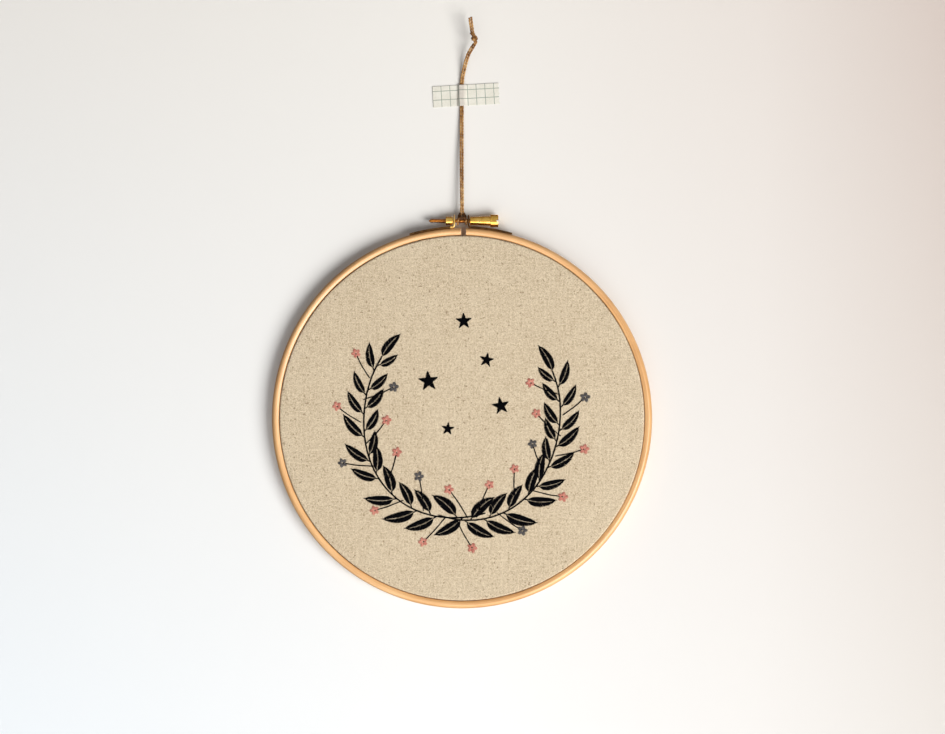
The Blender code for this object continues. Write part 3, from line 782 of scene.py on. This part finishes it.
def blossom(group, centre, radius, turn, petals=5):
    """Straight stitches in fans, the longest in the middle of each petal."""
    for petal in range(petals):
        middle = turn + 360 * petal / petals
        for k in range(-3, 4):
            reach = radius * (1 - 0.035 * k * k) * chance.uniform(0.95, 1.03)
            stitch(group, np.array(centre) + 0.16 * radius * heading(middle + 11 * k),
                   np.array(centre) + reach * heading(middle + 9.2 * k), 0.09 + 0.03 * (k % 2), 0.04)


def star(group, centre, radius, turn):
    """A five-pointed star in satin stitch, each arm worked across from its tip to the middle."""
    for arm in range(5):
        axis = heading(turn + 72 * arm)
        across_arm = heading(turn + 72 * arm + 90)
        for s in np.arange(0.0, 0.93, 0.34 / radius):
            half = max(0.14, 0.36 * radius * (1 - s) ** 0.9 * min(1.0, 0.55 + 1.6 * s))
            middle = np.array(centre) + radius * s * axis
            stitch(group, middle - half * across_arm, middle + half * across_arm, 0.09, 0.04)


def sew(name, group, material, **sizes):
    """Lay one group of stitches, and the plainer runs of the same thread on the cloth's back."""
    rows = np.array(group) * MM
    tones = np.array(group)[:, 5]
    mesh = bpy.data.meshes.new(name + "_lines")
    count = len(rows)
    places = np.empty((2 * count, 3))
    places[0::2] = rows[:, [0, 1, 4]]
    places[1::2] = rows[:, [2, 3, 4]]
    mesh.from_pydata(places.tolist(), [(2 * i, 2 * i + 1) for i in range(count)], [])
    mesh.attributes.new("tone", "FLOAT", "POINT").data.foreach_set("value", np.repeat(tones, 2))
    lines = placed(name + "_lines", mesh)
    sewn = grow(lines, lay_stitches, name, Material=material, **sizes)
    sewn.data.transform(CLOTH_TO_SCENE)
    sewn.data.shade_smooth()
    dress(sewn, material, "linen", "hoop")

    ends, starts = rows[:-1, 2:4], rows[1:, 0:2]
    near = np.linalg.norm(starts - ends, axis=1) < LONGEST_RUN
    ends, starts = ends[near], starts[near]
    places = np.full((2 * len(ends), 3), -LINEN_T - 0.5 * THREAD_HEIGHT)
    places[0::2, :2], places[1::2, :2] = ends, starts
    mesh = bpy.data.meshes.new(name + "_runs")
    mesh.from_pydata(places.tolist(), [(2 * i, 2 * i + 1) for i in range(len(ends))], [])
    mesh.attributes.new("tone", "FLOAT", "POINT").data.foreach_set("value", np.repeat(tones[1:][near], 2))
    runs = placed(name + "_runs", mesh)
    behind = grow(runs, lay_stitches, name + "_behind", Material=material, Points=3, Sides=4, Arch=-0.6 * THREAD_ARCH)
    behind.data.transform(CLOTH_TO_SCENE)
    behind.data.shade_smooth()
    dress(behind, material, "linen", "hoop")


def wreath_place(side, degrees, radius=WREATH_R):
    """A point of one sprig: degrees run from the bottom of the wreath up its own side."""
    return radius * heading(-90 + side * degrees)


for side, name in ((-1, "left"), (1, "right")):
    leaves, stems, flowers, greys = [], [], [], []
    tip = 128 if side < 0 else 118
    spine = [wreath_place(side, a, WREATH_R + 1.6 * sin(radians(3.1 * a + 30 * side))) for a in np.linspace(-14, tip, 15)]
    stem(stems, spine, 0.62)
    leaf(leaves, spine[-1], -90 + side * (tip + 84), 15.5, 5.6, side * 14)
    for i, a in enumerate(np.linspace(2, tip - 9, 10)):
        a += 1.2 * sin(2.3 * i + side)
        root = wreath_place(side, a, WREATH_R + 1.6 * sin(radians(3.1 * a + 30 * side)))
        forward = -90 + side * (a + 90)
        for way, length in ((-1, 17.5), (1, 15.5)):
            size = (1.0 - 0.028 * i) * (1 + 0.06 * sin(1.7 * i + 2 * way))
            lean = forward + side * way * (44 + 5 * sin(1.1 * i + way))
            start = root + heading(forward) * (1.6 if way > 0 else -1.6)
            stem(stems, [start, start + 2.4 * heading(lean)], 0.4)
            leaf(leaves, start + 2.0 * heading(lean), lean, length * size, 6.4 * size, -side * way * 16)
    for i, a in enumerate(np.linspace(2, tip - 9, 10)):
        way = 1 if (i + (side > 0)) % 2 else -1
        between = 2.5 if way > 0 else 8.5
        centre = wreath_place(side, a + between, WREATH_R + way * (16.4 + 0.5 * sin(1.9 * i + side) - 0.3 * i))
        root = wreath_place(side, a - 5.5)
        bow = 0.5 * (root + centre) + 0.9 * heading(-90 + side * a) * way
        stem(stems, [root, bow, centre], 0.32)
        blossom(greys if i % 3 == 2 else flowers, centre, 3.1 - 0.25 * (i % 2), 37 * i)
    sew("leaves_" + name, leaves, black_floss)
    sew("stems_" + name, stems, black_floss)
    sew("pink_blossoms_" + name, flowers, pink_floss)
    sew("grey_blossoms_" + name, greys, grey_floss)

stars = []
for right, up, radius, turn in ((-19, 21, 6.2, 95), (14, 33, 4.4, 80), (22, 7, 5.4, 100), (-8, -6, 4.0, 84), (1, 55, 5.0, 92)):
    star(stars, (right, up), radius, turn)
sew("stars", stars, black_floss)


# The outer hoop: the split ring that clamps the cloth, its front crowned and well rounded at the
# outer edge, with the two ends a little apart at the top under the screw.
CROWN = (                       # across the front from the inner side, and how far it falls back
    (0.0, 1.3), (0.07, 0.95), (0.22, 0.72), (0.5, 0.52), (1.0, 0.28), (1.5, 0.10), (2.0, 0.01), (2.35, 0.04),
    (2.8, 0.24), (3.3, 0.60), (3.75, 1.10), (4.05, 1.68), (4.24, 2.35), (4.3, 3.0),
)
CROWN_STEP = 0.2
SPLIT_LEFT = -0.5 * MM
SPLIT_RIGHT = 2.3 * MM
OUT_OF_ROUND = 0.12 * MM


def on_split_hoop(radius, height, angle):
    """A ring's place, a little out of round as bent wood is."""
    return on_hoop(radius + OUT_OF_ROUND * (sin(2 * angle + 0.7) + 0.6 * sin(5 * angle)) * sin(angle / 2) ** 2, height, angle)


inner_side = HOOP_R - OUTER_WALL
section = (
    [(inner_side + across * MM, HOOP_DEPTH - drop * MM)
     for across, drop, _ in smooth_route([(across, drop, 0.0) for across, drop in CROWN], CROWN_STEP)]
    + corner((HOOP_R - BACK_EDGE_R, BACK_EDGE_R), BACK_EDGE_R, 0, -90, 4)
    + corner((inner_side + BACK_EDGE_R, BACK_EDGE_R), BACK_EDGE_R, -90, -180, 4)
)
middle_r = HOOP_R - OUTER_WALL / 2
outer_hoop = turned("outer_hoop_wood", section, np.linspace(SPLIT_RIGHT / middle_r, 2 * pi + SPLIT_LEFT / middle_r, RING_STEPS),
                    on_split_hoop, whole_turn=False)
dress(outer_hoop, wood, "hoop_wood", "hoop", "outer_hoop")


# The lugs: two brass strips bent to lie on the hoop at each side of the split, each with a round
# ear turned up that the screw goes through.
STRIP_T = 0.8 * MM
STRIP_WIDTH = 7.0 * MM
STRIP_BEND_R = 1.2 * MM
STRIP_R = HOOP_R + 0.15 * MM + STRIP_T / 2
HOLE_R = 1.6 * MM
STRIP_EDGE = 0.14 * MM
LEFT_EAR_HIGHLIGHT_X = -3.5 * MM            # a painted highlight on the left ear and its bend, where the light catches them
LEFT_EAR_HIGHLIGHT_HALF = 3.2 * MM
LUGS = (("left", -1, -4.4 * MM, -29.8 * MM), ("right", 1, 3.75 * MM, 28.4 * MM))   # side, ear, strip's end

brass, tree, shader = surface("brass", 0.24, Metallic=1.0)
place = add(tree, "ShaderNodeTexCoord").outputs["Object"]
tarnish = noise(tree, place, 260.0, 5.0, 0.6)
drawn = add(tree, "ShaderNodeMapping", {"Vector": place, "Scale": (9000, 500, 500)}).outputs[0]
polished = ramp(tree, tarnish, (0.30, (0.66, 0.33, 0.06)), (0.48, (0.88, 0.53, 0.11)),
                (0.65, (0.94, 0.61, 0.17)))
tree.links.new(polished, shader.inputs["Base Color"])
tree.links.new(ranged(tree, tarnish, 0.3, 0.7, 0.27, 0.19), shader.inputs["Roughness"])
emboss(tree, shader, noise(tree, drawn, 1.0, 2.0), 0.03, 0.00001)

strip_brass, tree, shader = surface("strip_brass", 0.34, Metallic=1.0)
place = add(tree, "ShaderNodeTexCoord")
tarnish = noise(tree, place.outputs["Object"], 420.0, 4.0)
# Painted shade and painted dark reflection: the strips' brass is painted far darker than bare brass, its tarnish
# varying at random, and the cut edges that face the room and the wall are darker still.
facing = add(tree, "ShaderNodeSeparateXYZ", {0: place.outputs["Normal"]}).outputs["Y"]
edge_shade_mask = ranged(tree, maths(tree, "ABSOLUTE", facing), 0.75, 0.98)
# Painted highlight: the left ear and its bend are painted bright gold where the light catches them.
painted_highlight_mask = maths(tree, "COMPARE", add(tree, "ShaderNodeSeparateXYZ", {0: place.outputs["Object"]}).outputs["X"],
               LEFT_EAR_HIGHLIGHT_X, LEFT_EAR_HIGHLIGHT_HALF)
rolled_brass_painted_dark = ramp(tree, tarnish, (0.32, (0.10, 0.045, 0.014)), (0.50, (0.20, 0.10, 0.03)), (0.66, (0.34, 0.19, 0.06)))
cut_edge_painted_shade = ramp(tree, tarnish, (0.35, (0.035, 0.016, 0.006)), (0.60, (0.14, 0.07, 0.025)))
painted_highlight = ramp(tree, tarnish, (0.32, (0.70, 0.40, 0.09)), (0.60, (0.92, 0.62, 0.20)))
shaded_strip_brass = blend(tree, edge_shade_mask, rolled_brass_painted_dark, cut_edge_painted_shade)
strip_brass_with_painted_light = blend(tree, painted_highlight_mask, shaded_strip_brass, painted_highlight)
tree.links.new(strip_brass_with_painted_light, shader.inputs["Base Color"])


def strip_path(side, ear_x, end_x):
    """Middle line of a strip: along the ring, round the bend and up the ear (x, z)."""
    bend_x = ear_x + side * STRIP_BEND_R
    path = [Vector((x, HOOP_MIDDLE.z + sqrt(STRIP_R ** 2 - x ** 2))) for x in np.linspace(end_x, bend_x, 20)]
    bend_z = path[-1].y + STRIP_BEND_R
    for a in np.linspace(0, pi / 2, 9)[1:]:
        path.append(Vector((bend_x - side * STRIP_BEND_R * sin(a), bend_z - STRIP_BEND_R * cos(a))))
    path.append(Vector((ear_x, SCREW_AXIS.z + STRIP_WIDTH)))
    return path


def slab(name, outline, start, step):
    """A solid between an outline of 3-D points and the same outline moved by step."""
    bm = bmesh.new()
    near = bm.faces.new([bm.verts.new(Vector(point) + Vector(start)) for point in outline])
    raised = bmesh.ops.extrude_face_region(bm, geom=[near])
    bmesh.ops.translate(bm, vec=step, verts=[v for v in raised["geom"] if isinstance(v, bmesh.types.BMVert)])
    bmesh.ops.recalc_face_normals(bm, faces=bm.faces)
    mesh = bpy.data.meshes.new(name)
    bm.to_mesh(mesh)
    bm.free()
    return placed(name, mesh)


def shaped(name, body, cuts, edge, segments=3):
    """Cut a solid with others, each (solid, operation), round its edges and keep a plain mesh."""
    for other, operation in cuts:
        modifier = body.modifiers.new(operation, "BOOLEAN")
        modifier.object = other
        modifier.operation = operation
        modifier.solver = "EXACT"
    if edge:
        rounding = body.modifiers.new("edges", "BEVEL")
        rounding.width = edge
        rounding.segments = segments
        rounding.limit_method = "ANGLE"
        rounding.angle_limit = radians(38)
    bpy.context.view_layer.update()
    mesh = bpy.data.meshes.new_from_object(body.evaluated_get(bpy.context.evaluated_depsgraph_get()))
    mesh.name = name
    for other in (body, *(other for other, operation in cuts)):
        bpy.data.objects.remove(other)
    tidy(mesh, 32)
    return placed(name, mesh)


for name, side, ear_x, end_x in LUGS:
    path = strip_path(side, ear_x, end_x)
    edges = ([], [])
    for i, point in enumerate(path):
        ahead = (path[min(i + 1, len(path) - 1)] - path[max(i - 1, 0)]).normalized()
        across_strip = Vector((-ahead.y, ahead.x)) * STRIP_T / 2
        edges[0].append(point + across_strip)
        edges[1].append(point - across_strip)
    outline = [(p.x, 0, p.y) for p in edges[0] + edges[1][::-1]]
    strip = slab("strip_" + name, outline, (0, SCREW_AXIS.y - 0.7 * STRIP_WIDTH, 0), (0, 1.4 * STRIP_WIDTH, 0))
    half = STRIP_WIDTH / 2
    tongue = [(0, half, -8 * half), *((0, y, z) for y, z in corner((0, 0), half, 0, 180, 40)), (0, -half, -8 * half)]
    span = (min(ear_x, end_x) - 3 * MM, max(ear_x, end_x) + 3 * MM)
    shape = slab("tongue_" + name, tongue, (span[0], SCREW_AXIS.y, SCREW_AXIS.z), (span[1] - span[0], 0, 0))
    circle = [(0, HOLE_R * cos(a), HOLE_R * sin(a)) for a in np.linspace(0, 2 * pi, 48, endpoint=False)]
    hole = slab("hole_" + name, circle, (ear_x - 3 * MM, SCREW_AXIS.y, SCREW_AXIS.z), (6 * MM, 0, 0))
    lug = shaped("brass_lug_" + name, strip, ((shape, "INTERSECT"), (hole, "DIFFERENCE")), STRIP_EDGE)
    dress(lug, strip_brass, "brass", "hoop", "lug_" + name)


# The nut: a plain round brass nut outside the left ear, its edges turned off.
NUT_R = 2.4 * MM
NUT_LENGTH = 4.0 * MM
NUT_X = -7.2 * MM
NUT_EDGE = 0.22 * MM
TURN_STEPS = 96

screw_turn = np.linspace(0, 2 * pi, TURN_STEPS, endpoint=False)
half = NUT_LENGTH / 2
section = (
    [(HOLE_R, NUT_X - half), (HOLE_R, NUT_X + half)]
    + corner((NUT_R - NUT_EDGE, NUT_X + half - NUT_EDGE), NUT_EDGE, 90, 0, 4)
    + corner((NUT_R - NUT_EDGE, NUT_X - half + NUT_EDGE), NUT_EDGE, 0, -90, 4)
)
nut = turned("brass_nut", section, screw_turn, on_screw)
dress(nut, brass, "brass", "hoop", "nut")


# The tension screw: head, flared barrel and pointed shank turned in one piece of brass, with a
# slot across the head and a fine thread cut along the shank.
SHANK_R = 1.02 * MM             # at the root of the thread
THREAD_CREST = 0.17 * MM
SCREW_PITCH = 0.5 * MM
TIP_X = -19.1 * MM
TIP_LENGTH = 1.6 * MM
BARREL_X = 4.55 * MM
BARREL_R = 2.35 * MM
BARREL_FLARE_R = 2.85 * MM
HEAD_X = 16.1 * MM
HEAD_END_X = 20.7 * MM
HEAD_R = 3.55 * MM
HEAD_EDGE = 0.5 * MM
SLOT_WIDTH = 1.4 * MM
SLOT_DEPTH = 1.1 * MM

barrel = [(BARREL_R + (BARREL_FLARE_R - BARREL_R) * max(0.0, t - 0.18) / 0.82,
           BARREL_X + 0.4 * MM + (HEAD_X - BARREL_X - 0.4 * MM) * t) for t in np.linspace(0, 1, 12)]
section = (
    [(0.0, TIP_X), (0.35 * SHANK_R, TIP_X + 0.2 * TIP_LENGTH), (SHANK_R, TIP_X + TIP_LENGTH), (SHANK_R, BARREL_X)]
    + corner((BARREL_R - 0.25 * MM, BARREL_X + 0.25 * MM), 0.25 * MM, -90, 0, 4) + barrel[:-1]
    + [(BARREL_FLARE_R - 0.15 * MM, HEAD_X - 0.1 * MM), (BARREL_FLARE_R - 0.15 * MM, HEAD_X)]
    + corner((HEAD_R - 0.3 * MM, HEAD_X + 0.3 * MM), 0.3 * MM, -90, 0, 4)
    + corner((HEAD_R - HEAD_EDGE, HEAD_END_X - HEAD_EDGE), HEAD_EDGE, 0, 90, 6)
    + [(0.0, HEAD_END_X)]
)
blank = turned("screw_blank", section, screw_turn, on_screw)
slot_half = (1.5 * HEAD_R, SLOT_WIDTH / 2)
slot_outline = [(0, sy * slot_half[0], sz * slot_half[1]) for sy, sz in ((-1, -1), (1, -1), (1, 1), (-1, 1))]
slot_cut = slab("slot_cut", slot_outline, (HEAD_END_X - SLOT_DEPTH, SCREW_AXIS.y, SCREW_AXIS.z), (3 * SLOT_DEPTH, 0, 0))
screw = shaped("brass_screw", blank, ((slot_cut, "DIFFERENCE"),), 0)
dark_brass, tree, shader = surface("thread_brass", 0.3, Metallic=1.0)
place = add(tree, "ShaderNodeTexCoord").outputs["Object"]
# The shank is painted a dark reddish brass: partly grime and oil in its thread, partly painted shade of the thread's
# grooves and painted reflection of the twine.
grime_and_groove_shade = noise(tree, place, 900.0, 3.0)
tree.links.new(ramp(tree, grime_and_groove_shade, (0.35, (0.22, 0.06, 0.011)), (0.62, (0.62, 0.27, 0.055))), shader.inputs["Base Color"])
screw.data.materials.clear()
screw.data.materials.append(brass)
screw.data.materials.append(dark_brass)
for face in screw.data.polygons:
    face.material_index = int(face.center.x < BARREL_X - 0.01 * MM)
dress(screw, brass, "brass", "tension_screw", "screw")

tree, given, out = new_tree("cut_thread", ("Pitch", "Float", SCREW_PITCH), ("Radius", "Float", SHANK_R),
                            ("Crest", "Float", THREAD_CREST), ("Length", "Float", BARREL_X - TIP_X - TIP_LENGTH),
                            ("Material", "Material", None))
turns = maths(tree, "DIVIDE", given.outputs["Length"], given.outputs["Pitch"])
helix = add(tree, "GeometryNodeCurveSpiral", {"Resolution": 28, "Rotations": turns, "Start Radius": given.outputs["Radius"],
                                              "End Radius": given.outputs["Radius"], "Height": given.outputs["Length"]}).outputs[0]
helix = add(tree, "GeometryNodeSetCurveNormal", {"Curve": helix}, mode="Z_UP").outputs[0]
ridge = add(tree, "GeometryNodeCurvePrimitiveCircle", {"Resolution": 4, "Radius": given.outputs["Crest"]}).outputs[0]
ridges = add(tree, "GeometryNodeCurveToMesh", {"Curve": helix, "Profile Curve": ridge, "Fill Caps": True}).outputs[0]
finish(tree, out, ridges, given.outputs["Material"])
thread = grow(polyline("thread_line", [(0, 0, 0), (0, 0, MM)]), tree, "screw_thread", Material=dark_brass)
thread.data.transform(Matrix.Translation((TIP_X + TIP_LENGTH, SCREW_AXIS.y, SCREW_AXIS.z)) @ Matrix.Rotation(pi / 2, 4, "Y"))
dress(thread, dark_brass, "brass", "tension_screw")


# The tape: a strip of printed paper tape stuck flat on the wall and over the two runs of twine. Its
# left end is cut and its right end torn, and its print is a thin grid of 5 mm squares.
TAPE_LENGTH = 37.8 * MM
TAPE_WIDTH = 12.0 * MM
TAPE_T = 0.16 * MM
TAPE_CENTRE_X = 2.2 * MM
TAPE_CENTRE_Z = 0.55 * MM
TAPE_TILT = radians(3.2)
TAPE_LIFT = 0.06 * MM           # of its glued side above the wall
TWINE_UNDER_X = -0.2 * MM
BUMP_HEIGHT = 1.40 * MM
BUMP_TOP_HALF = 1.05 * MM
BUMP_FOOT_HALF = 2.9 * MM
GRID = 5.0 * MM
GRID_LINE = 0.27 * MM

columns, rows_up = 190, 48
points, flat_places, lifted = [], [], []
for j in range(rows_up + 1):
    for i in range(columns + 1):
        u = TAPE_LENGTH * (i / columns - 0.5)
        v = TAPE_WIDTH * (j / rows_up - 0.5)
        torn = max(0.0, (i / columns - 0.9) / 0.1) * (0.10 * sin(2.1 * j) + 0.22 * sin(0.55 * j + 1) + 0.06 * sin(5.3 * j)) * MM
        right = TAPE_CENTRE_X + (u + torn) * cos(TAPE_TILT) - v * sin(TAPE_TILT)
        up = TAPE_CENTRE_Z + (u + torn) * sin(TAPE_TILT) + v * cos(TAPE_TILT)
        foot = (abs(right - TWINE_UNDER_X) - BUMP_TOP_HALF) / (BUMP_FOOT_HALF - BUMP_TOP_HALF)
        foot = min(1.0, max(0.0, foot))
        bulge = BUMP_HEIGHT * (1 - foot * foot * (3 - 2 * foot))
        crease = 0.05 * MM * (1 - foot) * sin(2.4 * up / MM + 1.1 * sin(0.9 * right / MM)) + 0.02 * MM * sin(0.8 * right / MM + 0.5 * up / MM)
        points.append((right, -(TAPE_LIFT + bulge + crease), up))
        flat_places.append((u, v, 0.0))
        lifted.append(1 - foot)
width = columns + 1
faces = [(j * width + i, j * width + i + 1, (j + 1) * width + i + 1, (j + 1) * width + i)
         for j in range(rows_up) for i in range(columns)]
mesh = bpy.data.meshes.new("tape_sheet")
mesh.from_pydata(points, [], faces)
mesh.attributes.new("flat_place", "FLOAT_VECTOR", "POINT").data.foreach_set("vector", np.array(flat_places).ravel())
mesh.attributes.new("over_twine", "FLOAT", "POINT").data.foreach_set("value", lifted)
tape = placed("paper_tape", mesh)
thicken = tape.modifiers.new("thicken", "SOLIDIFY")
thicken.thickness = TAPE_T
thicken.offset = 1
bpy.context.view_layer.update()
tape.data = bpy.data.meshes.new_from_object(tape.evaluated_get(bpy.context.evaluated_depsgraph_get()))
tape.modifiers.clear()
tape.data.shade_smooth()

paper, tree, shader = surface("printed_paper_tape", 0.6)
flat_place = vector(tree, "flat_place")
flat_axes = add(tree, "ShaderNodeSeparateXYZ", {0: flat_place})


def grid_lines(position, offset):
    """1 on a printed line and 0 between, for lines square to one way."""
    cell = maths(tree, "FRACT", maths(tree, "DIVIDE", maths(tree, "ADD", position, offset), GRID))
    distance = maths(tree, "ABSOLUTE", maths(tree, "SUBTRACT", cell, 0.5))
    return add(tree, "ShaderNodeMapRange", {"Value": distance, "From Min": 0.5 - 0.8 * GRID_LINE / GRID,
                                            "From Max": 0.5 - 0.4 * GRID_LINE / GRID}).outputs[0]


printed = maths(tree, "MAXIMUM", grid_lines(flat_axes.outputs["X"], 18.97 * MM),
                grid_lines(flat_axes.outputs["Y"], 1.9 * MM))
fibre = noise(tree, flat_place, 900.0, 4.0, 0.7)
worn = noise(tree, flat_place, 160.0, 3.0)
sheet = ramp(tree, maths(tree, "ADD", maths(tree, "MULTIPLY", fibre, 0.5), maths(tree, "MULTIPLY", worn, 0.5)),
             (0.35, (0.72, 0.695, 0.60)), (0.5, (0.80, 0.775, 0.685)), (0.65, (0.86, 0.84, 0.76)))
over_twine = number(tree, "over_twine")
sheet = blend(tree, maths(tree, "MULTIPLY", over_twine, 0.42), sheet, (0.46, 0.37, 0.33, 1))
ink = maths(tree, "MULTIPLY", printed, maths(tree, "ADD", maths(tree, "MULTIPLY", worn, 0.5), 0.6))
inked = blend(tree, ink, sheet, (0.13, 0.19, 0.14, 1))
tree.links.new(inked, shader.inputs["Base Color"])
emboss(tree, shader, fibre, 0.4, 0.00005)
dress(tape, paper, "paper_tape", "hoop", "tape")
